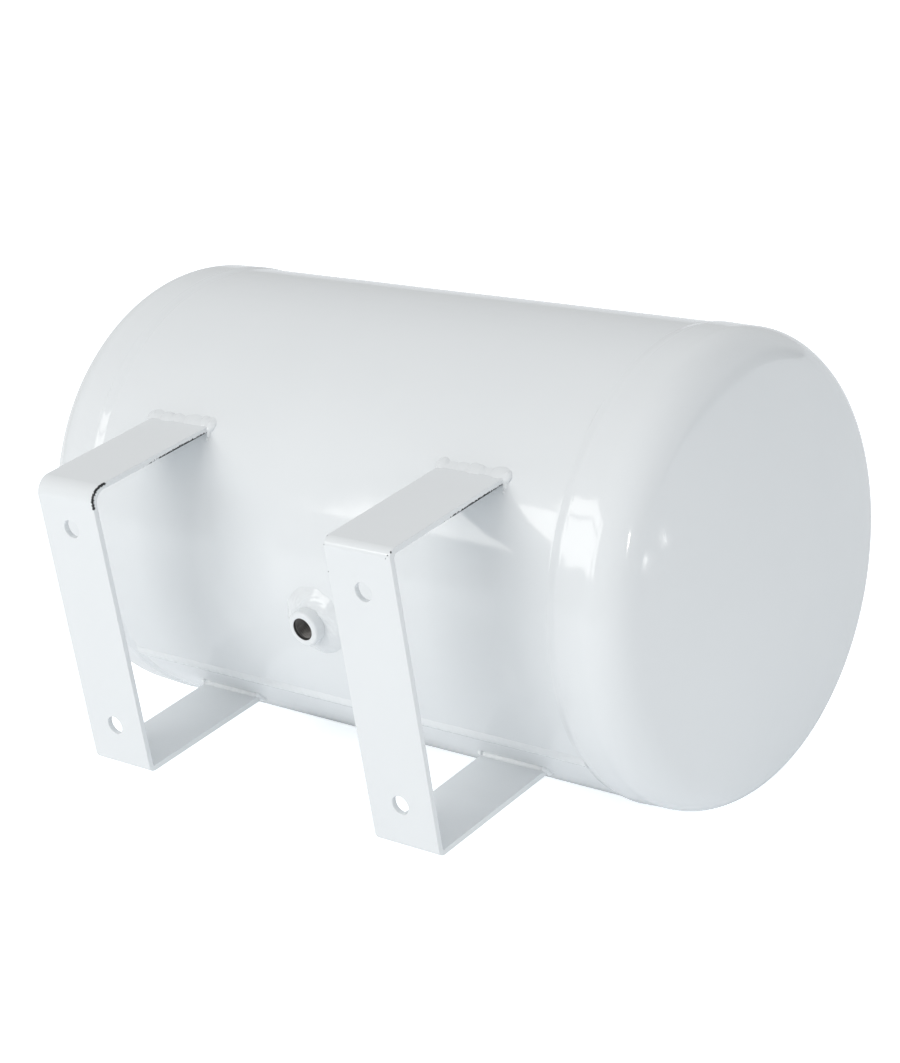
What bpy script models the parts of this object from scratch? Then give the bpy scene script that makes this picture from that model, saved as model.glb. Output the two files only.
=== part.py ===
"""Wall-hung expansion vessel: a welded steel cylinder with two dished heads, on two bent strap brackets.

Metres, +Z up. The origin is the centre of the four wall bolt holes, on the wall plane. The wall is the
plane y = 0, the vessel hangs on its +Y side, and its long axis runs along X.
Inside it are a rubber diaphragm and the band that clamps it; the gas valve is on the head at -X.
"""

import math

import bmesh
import bpy
from mathutils import Vector

MM = 0.001

# Vessel body
SHELL_RADIUS = 120.0 * MM
SHELL_HALF_LENGTH = 150.0 * MM
WALL = 2.0 * MM
GAP = 0.3 * MM  # left between pieces that touch
AXIS_FROM_WALL = 177.5 * MM

# Dished heads, pushed into the shell's ends on a stepped-in lip
HEAD_RADIUS = 120.5 * MM
HEAD_SKIRT = 20.0 * MM
KNUCKLE_RADIUS = 22.0 * MM
CROWN_RADIUS = 400.0 * MM
LIP_LENGTH = 12.0 * MM
LIP_RISE = 1.5 * MM  # from the shell's end to where the lip starts to widen
SHOULDER = 3.5 * MM  # from the shell's end to where the head has its full radius

# Girth welds, measured from the shell's end
GIRTH_ON_HEAD = 6.8 * MM
GIRTH_ON_SHELL = 3.2 * MM
GIRTH_CROWN = 0.85 * MM

# Brackets: one bent flat bar each
BRACKET_SPACING = 193.0 * MM
STRAP_WIDTH = 40.0 * MM
STRAP = 3.0 * MM
BRACKET_HEIGHT = 160.0 * MM
UPPER_BEND = {"left": 8.5 * MM, "right": 4.5 * MM}  # outer radius
LOWER_BEND = 3.6 * MM
BOLT_HOLE_RADIUS = 4.9 * MM
BOLT_HOLE_SPACING = 112.0 * MM

# Bracket welds: a bead on the upper flange, and a fillet inside the lower one
BEAD_ON_FLANGE = 4.0 * MM
BEAD_UP_SHELL = 5.2 * MM
BEAD_CROWN = 1.2 * MM
BEAD_IN_NOTCH = 1.6 * MM
FILLET_ON_FLANGE = 4.5 * MM
FILLET_UP_SHELL = 3.6 * MM
FILLET_CROWN = 0.6 * MM

# System port: a quarter-inch socket, welded in by hand a little off the middle
PORT_X = 4.0 * MM
PORT_Z = -3.5 * MM
PORT_RADIUS = 9.4 * MM
PORT_BORE = 5.75 * MM
PORT_FACE = 130.0 * MM  # from the vessel's axis
PORT_LENGTH = 16.0 * MM
PORT_CHAMFER = 1.1 * MM
PORT_SINK = 0.9 * MM
PORT_WELD_RADIUS = 19.7 * MM
PORT_WELD_HEIGHT = 4.0 * MM  # above the shell, where the bead meets the socket
PORT_WELD_EDGE = 0.9 * MM
PORT_WELD_CROWN = 0.7 * MM

# Longitudinal seam, on the wall side and between the port and the lower flanges
SEAM_ANGLE = math.radians(209.0)  # from +Y towards +Z
SEAM_SLIT = 2.0 * MM
SEAM_WIDTH = 6.0 * MM
WELD_HEIGHT = 1.0 * MM

# Diaphragm
RIM_X = -134.5 * MM
RIM_WIDTH = 6.0 * MM
RIM_PROUD = 2.2 * MM  # of the cup's side
RUBBER = 2.5 * MM
CUP_DEPTH = 108.0 * MM
CUP_CORNER = 46.0 * MM
CUP_SWEEP = 84.0  # degrees of the corner between the cup's side and its flat
CUP_BULGE = 3.0 * MM
BAND_WIDTH = 11.0 * MM
BAND = 2.5 * MM

# Gas valve, in heights above the head's pole
BOSS_RADIUS = 9.0 * MM
BOSS_TOP = 7.0 * MM
BOSS_LENGTH = 14.0 * MM
BOSS_BORE = 5.1 * MM
BOSS_WELD_WIDTH = 4.5 * MM
BOSS_WELD_HEIGHT = 4.2 * MM
BOSS_WELD_CROWN = 0.6 * MM
STEM_SEAL_RADIUS = 8.0 * MM
STEM_SHANK = 4.75 * MM
STEM_BOTTOM = -5.0 * MM
STEM_THREAD = 3.85 * MM
STEM_TOP = 25.0 * MM
HEX_ACROSS_CORNERS = 15.0 * MM
HEX_BOTTOM = 8.8 * MM
HEX_TOP = 13.0 * MM
CORE_BOTTOM = 12.0 * MM
CORE_TOP = 23.5 * MM
CORE_RADIUS = 2.35 * MM
CORE_GUIDE = 1.0 * MM
CORE_CHAMBER = 1.4 * MM
CORE_LIP = 1.0 * MM
PIN_RADIUS = 0.7 * MM
PIN_TIP = 24.3 * MM
PIN_COLLAR = (1.15 * MM, 21.1 * MM, 21.9 * MM)  # radius, bottom and top
PIN_CUP = (1.7 * MM, 9.4 * MM, 10.6 * MM)
PIN_SEAL_RADIUS = 1.8 * MM
SLACK = 0.15 * MM  # left round the pin's seal
SPRING_WIRE = 0.13 * MM
SPRING_RADIUS = 1.03 * MM
SPRING_TURNS = 5
CAP_RADIUS = 6.0 * MM
CAP_BOTTOM = 13.6 * MM
CAP_TOP = 28.0 * MM
CAP_EDGE = 1.2 * MM
CAP_FLUTES = 12
CAP_DISC_RADIUS = 3.7 * MM
CAP_DISC = 0.8 * MM

VESSEL_STEPS = 56
PORT_STEPS = 32
VALVE_STEPS = 24
THROUGH = 40.0 * MM  # the length of a cutter that goes right through a wall

# Colour, roughness, metallic
WHITE_PAINT = ((0.86, 0.88, 0.89, 1.0), 0.18, 0.0)
PLAIN_STEEL = ((0.45, 0.45, 0.46, 1.0), 0.4, 1.0)
BRASS = ((0.75, 0.56, 0.26, 1.0), 0.3, 1.0)
RUBBER_LOOK = ((0.03, 0.03, 0.03, 1.0), 0.7, 0.0)
BLACK_PLASTIC = ((0.05, 0.05, 0.055, 1.0), 0.45, 0.0)


def clear_scene():
    for obj in list(bpy.data.objects):
        bpy.data.objects.remove(obj, do_unlink=True)


def new_collection(name):
    group = bpy.data.collections.new(name)
    bpy.context.scene.collection.children.link(group)
    return group


def new_axis(name, location, direction):
    """An empty whose local +Z points along direction. Pieces on that axis are its children."""
    empty = bpy.data.objects.new(name, None)
    empty.location = location
    empty.rotation_mode = "QUATERNION"
    empty.rotation_quaternion = Vector(direction).to_track_quat("Z", "Y")
    PARTS.objects.link(empty)
    return empty


def set_finish(obj, finish):
    colour, roughness, metallic = finish
    material = bpy.data.materials.new(obj.name + "_finish")
    material.use_nodes = True
    shader = material.node_tree.nodes["Principled BSDF"]
    shader.inputs["Base Color"].default_value = colour
    shader.inputs["Roughness"].default_value = roughness
    shader.inputs["Metallic"].default_value = metallic
    material.diffuse_color = colour
    obj.data.materials.append(material)


def add_object(name, data, finish=None, parent=None):
    """A part if it has a finish, and a hidden cutter or helper if it doesn't."""
    obj = bpy.data.objects.new(name, data)
    obj.parent = parent
    if finish is None:
        HELPERS.objects.link(obj)
        obj.hide_render = True
        obj.display_type = "WIRE"
    else:
        PARTS.objects.link(obj)
        set_finish(obj, finish)
    return obj


def mesh_from(bm, name):
    mesh = bpy.data.meshes.new(name)
    bm.to_mesh(mesh)
    bm.free()
    return mesh


def smooth(obj, angle=30.0):
    obj.data.shade_smooth()
    obj.data.set_sharp_from_angle(angle=math.radians(angle))


def boolean(obj, other, operation="DIFFERENCE"):
    modifier = obj.modifiers.new(operation.lower(), "BOOLEAN")
    modifier.operation = operation
    modifier.object = other


def arc(centre, radius, start, end, count):
    """count + 1 points on an arc from start to end, in degrees."""
    angles = [math.radians(start + (end - start) * i / count) for i in range(count + 1)]
    return [(centre[0] + radius * math.cos(a), centre[1] + radius * math.sin(a)) for a in angles]


def bowed(start, end, rise, count):
    """The count - 1 points between start and end, on a bow that stands out to the left of the way there."""
    across, up = end[0] - start[0], end[1] - start[1]
    length = math.hypot(across, up)
    points = []
    for share in [i / count for i in range(1, count)]:
        out = 4 * rise * share * (1 - share) / length
        points.append((start[0] + share * across - out * up, start[1] + share * up + out * across))
    return points


def signed_area(outline):
    pairs = zip(outline, outline[1:] + outline[:1])
    return sum(a[0] * b[1] - b[0] * a[1] for a, b in pairs) / 2


def turned(name, outline, finish=None, parent=None, steps=VALVE_STEPS):
    """Turns an outline of (radius, height) points about the local Z axis.

    An outline that starts and ends on the axis stays open there. Any other one is closed.
    """
    if signed_area(outline) > 0:
        outline = outline[::-1]
    bm = bmesh.new()
    points = [bm.verts.new((radius, 0, height)) for radius, height in outline]
    on_axis = outline[0][0] == 0 and outline[-1][0] == 0
    for first, second in zip(points, points[1:] + ([] if on_axis else points[:1])):
        bm.edges.new((first, second))
    obj = add_object(name, mesh_from(bm, name), finish, parent)
    screw = obj.modifiers.new("turn", "SCREW")
    screw.steps = screw.render_steps = steps
    screw.use_merge_vertices = True
    screw.merge_threshold = 0.00001
    screw.use_smooth_shade = True
    return obj


def ring_outline(inner, outer, bottom, top):
    return [(inner, top), (outer, top), (outer, bottom), (inner, bottom)]


def cylinder(name, radius, bottom, top, parent, steps):
    """A plain cylinder along the parent's Z axis, used as a cutter."""
    return turned(name, [(0, top), (radius, top), (radius, bottom), (0, bottom)], None, parent, steps)


def box_cutter(name, low, high, parent):
    bm = bmesh.new()
    bmesh.ops.create_cube(bm, size=1.0)
    size = [b - a for a, b in zip(low, high)]
    middle = [(a + b) / 2 for a, b in zip(low, high)]
    bmesh.ops.scale(bm, vec=size, verts=bm.verts)
    bmesh.ops.translate(bm, vec=middle, verts=bm.verts)
    return add_object(name, mesh_from(bm, name), None, parent)


def bar(name, outline, length, finish):
    """Extrudes an outline of (y, z) points along X, centred on the object's origin."""
    curve = bpy.data.curves.new(name, "CURVE")
    curve.dimensions = "2D"
    curve.fill_mode = "BOTH"
    curve.extrude = length / 2
    spline = curve.splines.new("POLY")
    spline.points.add(len(outline) - 1)
    for point, (across, up) in zip(spline.points, outline):
        point.co = (across, up, 0, 1)
    spline.use_cyclic_u = True
    obj = add_object(name, curve, finish)
    # The curve's own X, Y and Z become Y, Z and X.
    obj.rotation_euler = (math.radians(90), 0, math.radians(90))
    return obj


def on_shell(height, clearance=GAP):
    """World (y, z) on the wall side of the shell at this height, a clearance outside it."""
    return (AXIS_FROM_WALL - math.sqrt((SHELL_RADIUS + clearance) ** 2 - height**2), height)


def crown_depth(radius):
    """How far a head's crown rises above the tangent line, at this radius from its centre."""
    across = (CROWN_RADIUS - KNUCKLE_RADIUS) ** 2 - (HEAD_RADIUS - KNUCKLE_RADIUS) ** 2
    return math.sqrt(CROWN_RADIUS**2 - radius**2) - math.sqrt(across)


TANGENT = SHELL_HALF_LENGTH + HEAD_SKIRT
HALF_LENGTH = TANGENT + crown_depth(0.0)


def dish(inset, hole, crown_parts, knuckle_parts):
    """(radius, height) from the crown to the end of the skirt, this far inside the outer face."""
    knuckle = KNUCKLE_RADIUS - inset
    crown = CROWN_RADIUS - inset
    centre = (HEAD_RADIUS - KNUCKLE_RADIUS, TANGENT)
    crown_centre = HALF_LENGTH - CROWN_RADIUS
    joint = math.degrees(math.atan2(TANGENT - crown_centre, HEAD_RADIUS - KNUCKLE_RADIUS))
    start = math.degrees(math.acos(hole / crown))
    points = arc((0.0, crown_centre), crown, start, joint, crown_parts)
    if hole == 0:
        points[0] = (0.0, crown_centre + crown)
    return points + arc(centre, knuckle, joint, 0.0, knuckle_parts)[1:]


def make_head(side, sign, hole=0.0):
    lip = SHELL_RADIUS - WALL - GAP
    lip_end = SHELL_HALF_LENGTH - LIP_LENGTH
    full = SHELL_HALF_LENGTH + SHOULDER
    step = SHELL_HALF_LENGTH + LIP_RISE
    outer = dish(0.0, hole, 3, 6)
    outer += [(HEAD_RADIUS, full), (lip, step), (lip, lip_end)]
    inner = dish(WALL, hole, 2, 3)
    inner += [(HEAD_RADIUS - WALL, full + MM), (lip - WALL, step + MM), (lip - WALL, lip_end)]
    outline = [(radius, sign * height) for radius, height in outer + inner[::-1]]
    turned("head_" + side, outline, WHITE_PAINT, VESSEL, VESSEL_STEPS)


def make_girth_weld(side, sign):
    """A bead that fills the groove between the shell's end and the head's shoulder, and stands proud."""
    end = SHELL_HALF_LENGTH
    toe = (HEAD_RADIUS + GAP, end + GIRTH_ON_HEAD)
    foot = (SHELL_RADIUS + GAP, end - GIRTH_ON_SHELL)
    crown = [toe] + bowed(toe, foot, GIRTH_CROWN, 4) + [foot]
    root_radius = SHELL_RADIUS - WALL + GAP
    root = [(SHELL_RADIUS + GAP, end + GAP), (root_radius, end + GAP), (root_radius, end + LIP_RISE)]
    root += [(HEAD_RADIUS + GAP, end + SHOULDER)]
    outline = [(radius, sign * height) for radius, height in crown + root]
    turned("girth_weld_" + side, outline, WHITE_PAINT, VESSEL, VESSEL_STEPS)


def make_shell():
    length = ring_outline(SHELL_RADIUS - WALL, SHELL_RADIUS, -SHELL_HALF_LENGTH, SHELL_HALF_LENGTH)
    shell = turned("shell", length, WHITE_PAINT, VESSEL, VESSEL_STEPS)
    hole = PORT_RADIUS + GAP
    top = SHELL_RADIUS + THROUGH / 2
    boolean(shell, cylinder("port_hole", hole, top - THROUGH, top, PORT, PORT_STEPS))
    half = SEAM_SLIT / 2
    reach = SHELL_HALF_LENGTH + THROUGH
    low = (-reach, SHELL_RADIUS - 2 * WALL, -half)
    boolean(shell, box_cutter("seam_slit", low, (reach, SHELL_RADIUS + WALL, half), SEAM))


def make_seam_weld():
    """A bead along the rolled shell's butt joint, with its root in the slit."""
    half_root = SEAM_SLIT / 2 - GAP
    half = SEAM_WIDTH / 2
    base = SHELL_RADIUS + GAP
    root = SHELL_RADIUS - WALL + GAP
    top = SHELL_RADIUS + WELD_HEIGHT
    outline = [(base, -half), (top, -half / 2), (top, half / 2), (base, half)]
    outline += [(base, half_root), (root, half_root), (root, -half_root), (base, -half_root)]
    length = 2 * (SHELL_HALF_LENGTH - GIRTH_ON_SHELL - GAP)
    bar("seam_weld", outline, length, WHITE_PAINT).parent = SEAM


def make_bracket(side, sign):
    """A U of flat bar, open towards the vessel, with two bolt holes in its plate."""
    middle = sign * BRACKET_SPACING / 2
    half = BRACKET_HEIGHT / 2
    end = on_shell(half - STRAP)[0]
    upper = UPPER_BEND[side]
    path = [(end, half)] + arc((upper, half - upper), upper, 90, 180, 6)
    path += arc((LOWER_BEND, LOWER_BEND - half), LOWER_BEND, 180, 270, 4) + [(end, -half)]
    bm = bmesh.new()
    edge = [bm.verts.new((-STRAP_WIDTH / 2, y, z)) for y, z in path]
    edges = [bm.edges.new(pair) for pair in zip(edge, edge[1:])]
    swept = bmesh.ops.extrude_edge_only(bm, edges=edges)["geom"]
    moved = [item for item in swept if isinstance(item, bmesh.types.BMVert)]
    bmesh.ops.translate(bm, vec=(STRAP_WIDTH, 0, 0), verts=moved)
    bracket = add_object("bracket_" + side, mesh_from(bm, "bracket_" + side), WHITE_PAINT)
    bracket.location = (middle, 0, 0)
    # Solidify grows the sheet to its inner side, so the outline above is the outer face.
    thick = bracket.modifiers.new("thickness", "SOLIDIFY")
    thick.thickness = STRAP
    thick.offset = 1.0
    thick.use_even_offset = True
    for level, up in (("upper", 0.5), ("lower", -0.5)):
        spot = (middle, 0, up * BOLT_HOLE_SPACING)
        axis = new_axis(f"bolt_axis_{side}_{level}", spot, (0, 1, 0))
        name = f"bolt_hole_{side}_{level}"
        boolean(bracket, cylinder(name, BOLT_HOLE_RADIUS, -THROUGH / 2, THROUGH / 2, axis, VALVE_STEPS))


def make_bracket_welds(side, sign):
    middle = sign * BRACKET_SPACING / 2
    top = BRACKET_HEIGHT / 2
    end = on_shell(top - STRAP)[0]
    over = top + GAP
    # On the outside of the upper flange: a bead over its end, into the notch that the shell leaves.
    toe = (end - BEAD_ON_FLANGE, over)
    crest = on_shell(top + BEAD_UP_SHELL)
    bead = [toe] + bowed(toe, crest, BEAD_CROWN, 4) + [crest, on_shell(top + BEAD_UP_SHELL / 2)]
    bead += [on_shell(top), on_shell(top - BEAD_IN_NOTCH)]
    bead += [(end + GAP, top - BEAD_IN_NOTCH), (end + GAP, over)]
    upper = bar(f"bracket_{side}_upper_weld", bead, STRAP_WIDTH + 2 * MM, WHITE_PAINT)
    upper.location = (middle, 0, 0)
    # Inside the lower flange: a small fillet in the corner between the bar and the shell.
    inside = GAP + STRAP - top
    corner = on_shell(inside, 2 * GAP)
    toe = (corner[0] - FILLET_ON_FLANGE, inside)
    crest = on_shell(inside + FILLET_UP_SHELL)
    fillet = [toe] + bowed(toe, crest, FILLET_CROWN, 3)
    fillet += [crest, on_shell(inside + FILLET_UP_SHELL / 2), corner]
    lower = bar(f"bracket_{side}_lower_weld", fillet, STRAP_WIDTH, WHITE_PAINT)
    lower.location = (middle, 0, 0)


def make_port():
    """The threaded socket and the heavy bead round it. Heights are distances from the vessel's axis."""
    bottom = PORT_FACE - PORT_LENGTH
    outline = [(PORT_BORE + PORT_SINK, PORT_FACE), (PORT_RADIUS - PORT_CHAMFER, PORT_FACE)]
    outline += [(PORT_RADIUS, PORT_FACE - PORT_CHAMFER), (PORT_RADIUS, bottom), (PORT_BORE, bottom)]
    outline += [(PORT_BORE, PORT_FACE - PORT_SINK)]
    turned("port_socket", outline, WHITE_PAINT, PORT, PORT_STEPS)
    inner = (PORT_RADIUS + GAP, SHELL_RADIUS + PORT_WELD_HEIGHT)
    edge = (PORT_WELD_RADIUS, SHELL_RADIUS + PORT_WELD_EDGE)
    below = SHELL_RADIUS - THROUGH / 4
    crown = [inner] + bowed(inner, edge, PORT_WELD_CROWN, 4) + [edge, (edge[0], below), (inner[0], below)]
    weld = turned("port_weld", crown, WHITE_PAINT, PORT, PORT_STEPS)
    seat = cylinder("port_weld_seat", SHELL_RADIUS + GAP, -THROUGH, THROUGH, VESSEL, 4 * VESSEL_STEPS)
    boolean(weld, seat)


def make_diaphragm():
    """A deep rubber cup that faces +X, and the steel band that holds its thick rim to the shell."""
    wall = SHELL_RADIUS - WALL - GAP
    cup = wall - RIM_PROUD
    left, right = RIM_X - RIM_WIDTH / 2, RIM_X + RIM_WIDTH / 2
    rim_inner = cup - RUBBER
    bottom = left + CUP_DEPTH
    outer = [(wall, left), (wall, right), (cup, right + RIM_PROUD)]
    corner = (cup - CUP_CORNER, bottom - CUP_CORNER)
    outer += arc(corner, CUP_CORNER, 0, CUP_SWEEP, 5)
    outer += [(0.0, bottom + CUP_BULGE)]
    inner = [(rim_inner, left)]
    inner += arc(corner, CUP_CORNER - RUBBER, 0, CUP_SWEEP, 5)
    inner += [(0.0, bottom + CUP_BULGE - RUBBER)]
    turned("diaphragm", outer[::-1] + inner, RUBBER_LOOK, VESSEL, VESSEL_STEPS)
    half = BAND_WIDTH / 2
    band = ring_outline(rim_inner - GAP - BAND, rim_inner - GAP, RIM_X - half, RIM_X + half)
    turned("diaphragm_clamp_band", band, PLAIN_STEEL, VESSEL, VESSEL_STEPS)


def make_valve_body():
    boss = ring_outline(BOSS_BORE, BOSS_RADIUS, BOSS_TOP - BOSS_LENGTH, BOSS_TOP)
    turned("valve_boss", boss, WHITE_PAINT, VALVE)
    foot = BOSS_RADIUS + BOSS_WELD_WIDTH
    dip = crown_depth(foot) - crown_depth(0.0)
    root = BOSS_RADIUS + GAP
    edge = 2 * GAP
    bead = [(root, BOSS_WELD_HEIGHT)]
    bead += bowed(bead[0], (foot, edge), BOSS_WELD_CROWN, 3)
    bead += [(foot, edge), (foot, dip + GAP), (root, GAP)]
    turned("valve_boss_weld", bead, WHITE_PAINT, VALVE)
    seal = ring_outline(BOSS_BORE + GAP, STEM_SEAL_RADIUS, BOSS_TOP + GAP, HEX_BOTTOM - GAP)
    turned("valve_stem_seal", seal, RUBBER_LOOK, VALVE)
    bm = bmesh.new()
    radius = HEX_ACROSS_CORNERS / 2
    bmesh.ops.create_cone(
        bm, cap_ends=True, segments=6, radius1=radius, radius2=radius, depth=HEX_TOP - HEX_BOTTOM
    )
    bmesh.ops.translate(bm, vec=(0, 0, (HEX_TOP + HEX_BOTTOM) / 2), verts=bm.verts)
    stem = add_object("valve_stem", mesh_from(bm, "valve_stem"), BRASS, VALVE)
    middle = (HEX_BOTTOM + HEX_TOP) / 2
    chamfer = 0.4 * MM
    body = [(0, STEM_TOP), (STEM_THREAD - chamfer, STEM_TOP), (STEM_THREAD, STEM_TOP - chamfer)]
    body += [(STEM_THREAD, middle), (STEM_SHANK, middle), (STEM_SHANK, STEM_BOTTOM), (0, STEM_BOTTOM)]
    boolean(stem, turned("valve_stem_shank", body, None, VALVE), "UNION")
    chamber = CORE_RADIUS + GAP
    passage = CORE_RADIUS - GAP
    floor = PIN_CUP[1] - 4 * MM
    bore = [(0, STEM_TOP + MM), (chamber, STEM_TOP + MM), (chamber, floor), (passage, floor)]
    bore += [(passage, STEM_BOTTOM - MM), (0, STEM_BOTTOM - MM)]
    boolean(stem, turned("valve_stem_bore", bore, None, VALVE))


def make_valve_core():
    """The barrel, the sprung pin that runs through it, the pin's seal and its spring."""
    barrel = [(CORE_GUIDE, CORE_TOP), (CORE_RADIUS, CORE_TOP)]
    barrel += [(CORE_RADIUS, CORE_BOTTOM), (CORE_GUIDE, CORE_BOTTOM)]
    barrel += [(CORE_GUIDE, CORE_BOTTOM + CORE_LIP), (CORE_CHAMBER, CORE_BOTTOM + CORE_LIP)]
    barrel += [(CORE_CHAMBER, CORE_TOP - CORE_LIP), (CORE_GUIDE, CORE_TOP - CORE_LIP)]
    turned("valve_core_barrel", barrel, BRASS, VALVE)
    collar, collar_bottom, collar_top = PIN_COLLAR
    cup, cup_bottom, cup_top = PIN_CUP
    pin = [(0, PIN_TIP), (PIN_RADIUS, PIN_TIP), (PIN_RADIUS, collar_top), (collar, collar_top)]
    pin += [(collar, collar_bottom), (PIN_RADIUS, collar_bottom), (PIN_RADIUS, cup_top), (cup, cup_top)]
    pin += [(cup, cup_bottom), (0, cup_bottom)]
    turned("valve_pin", pin, BRASS, VALVE)
    seal = ring_outline(PIN_RADIUS + SLACK, PIN_SEAL_RADIUS, cup_top + SLACK, CORE_BOTTOM - SLACK)
    turned("valve_pin_seal", seal, RUBBER_LOOK, VALVE)
    clear = SPRING_WIRE + 0.1 * MM
    low, high = CORE_BOTTOM + CORE_LIP + clear, collar_bottom - clear
    curve = bpy.data.curves.new("valve_spring", "CURVE")
    curve.dimensions = "3D"
    curve.bevel_depth = SPRING_WIRE
    curve.bevel_resolution = 2
    curve.use_fill_caps = True
    spline = curve.splines.new("POLY")
    per_turn = 10
    count = SPRING_TURNS * per_turn
    spline.points.add(count)
    for i, point in enumerate(spline.points):
        angle = 2 * math.pi * i / per_turn
        height = low + (high - low) * i / count
        point.co = (SPRING_RADIUS * math.cos(angle), SPRING_RADIUS * math.sin(angle), height, 1)
    add_object("valve_spring", curve, PLAIN_STEEL, VALVE)


def make_valve_cap():
    """A fluted plastic cap, and the rubber disc inside it that closes the stem's mouth."""
    bm = bmesh.new()
    segments = 2 * CAP_FLUTES
    shoulder = CAP_TOP - CAP_EDGE
    bmesh.ops.create_cone(
        bm,
        cap_ends=True,
        segments=segments,
        radius1=CAP_RADIUS,
        radius2=CAP_RADIUS,
        depth=shoulder - CAP_BOTTOM,
    )
    bmesh.ops.translate(bm, vec=(0, 0, (shoulder + CAP_BOTTOM) / 2), verts=bm.verts)
    flutes = [v for v in bm.verts if round(math.atan2(v.co.y, v.co.x) / (math.pi / CAP_FLUTES)) % 2]
    bmesh.ops.scale(bm, vec=(0.93, 0.93, 1), verts=flutes)
    lid = max(bm.faces, key=lambda face: face.calc_center_median().z)
    top = [item for item in bmesh.ops.extrude_face_region(bm, geom=[lid])["geom"] if hasattr(item, "co")]
    bmesh.ops.delete(bm, geom=[lid], context="FACES_ONLY")
    bmesh.ops.translate(bm, vec=(0, 0, CAP_EDGE), verts=top)
    bmesh.ops.scale(bm, vec=(0.86, 0.86, 1), verts=top)
    bmesh.ops.recalc_face_normals(bm, faces=bm.faces)
    cap = add_object("valve_cap", mesh_from(bm, "valve_cap"), BLACK_PLASTIC, VALVE)
    disc_bottom = STEM_TOP + GAP
    disc_top = disc_bottom + CAP_DISC
    hole = STEM_THREAD + GAP
    boolean(cap, cylinder("valve_cap_bore", hole, CAP_BOTTOM - MM, disc_top + GAP, VALVE, VALVE_STEPS))
    disc = [(0, disc_top), (CAP_DISC_RADIUS, disc_top), (CAP_DISC_RADIUS, disc_bottom), (0, disc_bottom)]
    turned("valve_cap_seal", disc, RUBBER_LOOK, VALVE)


clear_scene()
PARTS = new_collection("expansion_vessel")
HELPERS = new_collection("cutters")
HELPERS.hide_render = True
VESSEL = new_axis("vessel_axis", (0, AXIS_FROM_WALL, 0), (1, 0, 0))
PORT = new_axis("port_axis", (PORT_X, AXIS_FROM_WALL, PORT_Z), (0, -1, 0))
VALVE = new_axis("valve_axis", (-HALF_LENGTH, AXIS_FROM_WALL, 0), (-1, 0, 0))
SEAM = bpy.data.objects.new("seam_line", None)
SEAM.location = (0, AXIS_FROM_WALL, 0)
SEAM.rotation_euler = (SEAM_ANGLE, 0, 0)
PARTS.objects.link(SEAM)

make_shell()
make_seam_weld()
make_head("right", 1)
make_head("left", -1, BOSS_RADIUS + GAP)
for SIDE, SIGN in (("left", -1), ("right", 1)):
    make_girth_weld(SIDE, SIGN)
    make_bracket(SIDE, SIGN)
    make_bracket_welds(SIDE, SIGN)
make_port()
make_diaphragm()
make_valve_body()
make_valve_core()
make_valve_cap()
for part in PARTS.objects:
    if part.type == "MESH" and not part.name.startswith(("bracket", "valve_cap", "valve_stem")):
        smooth(part)
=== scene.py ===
"""Looks of the wall-hung expansion vessel: gloss white paint over welded steel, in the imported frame."""

import math
import random

import bmesh
import bpy
import numpy as np
from mathutils import Matrix, Vector


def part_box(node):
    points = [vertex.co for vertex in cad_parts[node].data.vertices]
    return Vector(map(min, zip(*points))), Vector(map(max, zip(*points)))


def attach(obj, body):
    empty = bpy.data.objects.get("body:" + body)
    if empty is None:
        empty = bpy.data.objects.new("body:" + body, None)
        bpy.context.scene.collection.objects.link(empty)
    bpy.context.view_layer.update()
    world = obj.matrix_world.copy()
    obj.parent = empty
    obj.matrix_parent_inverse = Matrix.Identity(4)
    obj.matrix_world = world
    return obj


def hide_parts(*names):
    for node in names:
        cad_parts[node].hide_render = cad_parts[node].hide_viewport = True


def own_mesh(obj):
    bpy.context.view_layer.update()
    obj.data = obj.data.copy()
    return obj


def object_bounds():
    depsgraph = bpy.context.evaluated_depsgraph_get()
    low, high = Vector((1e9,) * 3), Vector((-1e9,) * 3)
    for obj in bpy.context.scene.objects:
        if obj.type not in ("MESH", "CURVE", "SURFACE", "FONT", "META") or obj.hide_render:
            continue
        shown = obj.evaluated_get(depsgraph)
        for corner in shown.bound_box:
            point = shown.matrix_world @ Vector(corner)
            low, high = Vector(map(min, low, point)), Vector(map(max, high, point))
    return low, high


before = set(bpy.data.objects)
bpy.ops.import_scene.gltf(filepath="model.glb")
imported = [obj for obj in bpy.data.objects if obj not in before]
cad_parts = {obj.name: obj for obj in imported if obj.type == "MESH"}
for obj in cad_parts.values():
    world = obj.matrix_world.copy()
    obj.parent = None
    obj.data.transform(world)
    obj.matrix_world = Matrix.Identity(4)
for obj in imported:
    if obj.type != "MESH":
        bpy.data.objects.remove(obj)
CAD_LOW, CAD_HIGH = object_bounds()
MM = 0.001
PHASES = 6.28  # radians, close to a full turn

# The vessel, from the frame
SHELL_LOW, SHELL_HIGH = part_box("shell")
HEAD_LOW, HEAD_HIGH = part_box("head_right")
SHELL_END = SHELL_HIGH.x
SHELL_RADIUS = (SHELL_HIGH.z - SHELL_LOW.z) / 2
AXIS_Y = (SHELL_LOW.y + SHELL_HIGH.y) / 2
HEAD_RADIUS = (HEAD_HIGH.z - HEAD_LOW.z) / 2
POLE = HEAD_HIGH.x
GIRTH_RADIUS = (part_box("girth_weld_right")[1].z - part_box("girth_weld_right")[0].z) / 2
WALL = 2.0 * MM
CROWN = 400.0 * MM
KNUCKLE = 22.0 * MM
TANGENT = SHELL_END + 20.0 * MM
SKIRT_END = SHELL_END + 3.5 * MM
LIP_END = SHELL_END - 12.0 * MM

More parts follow.
